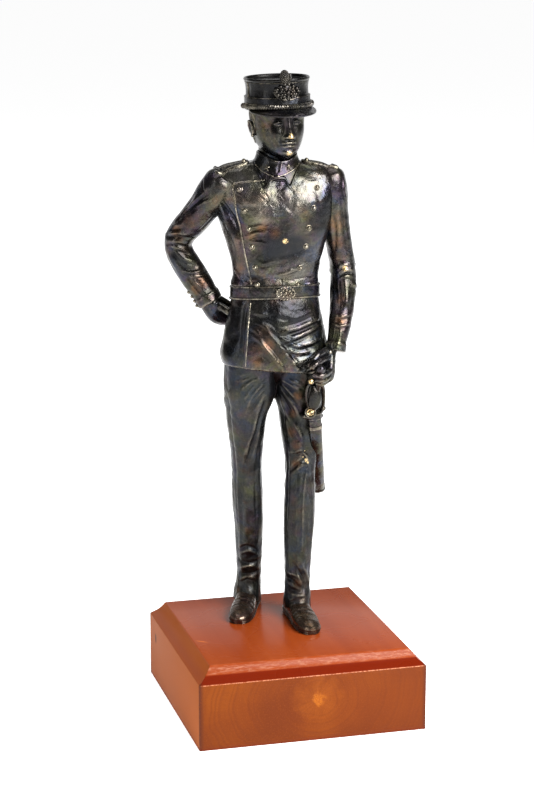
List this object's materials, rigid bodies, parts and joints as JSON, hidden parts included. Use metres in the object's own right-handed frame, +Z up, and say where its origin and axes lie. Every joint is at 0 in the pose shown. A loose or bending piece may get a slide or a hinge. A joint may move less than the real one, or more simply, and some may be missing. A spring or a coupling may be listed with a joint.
{
  "type": "statuette",
  "caption": "Cast metal statuette of a standing officer in cap, belted tunic and trousers, one hand on the hip and one on a sheathed sabre, on a square moulded wooden plinth.",
  "frame": {"origin": "centre of the plinth's underside", "axes": "+Z up, the figure faces -Y, its left side is at +X"},
  "size_m": [0.1, 0.1, 0.2799],
  "materials": {
    "patinated_metal": "dark oxidised patina, glossy, with bare golden wear on the high points",
    "varnished_wood": "red-brown stain under gloss varnish"
  },
  "bodies": {
    "root": {"officer_figure": "patinated_metal", "plinth": "varnished_wood"}
  },
  "joints": []
}
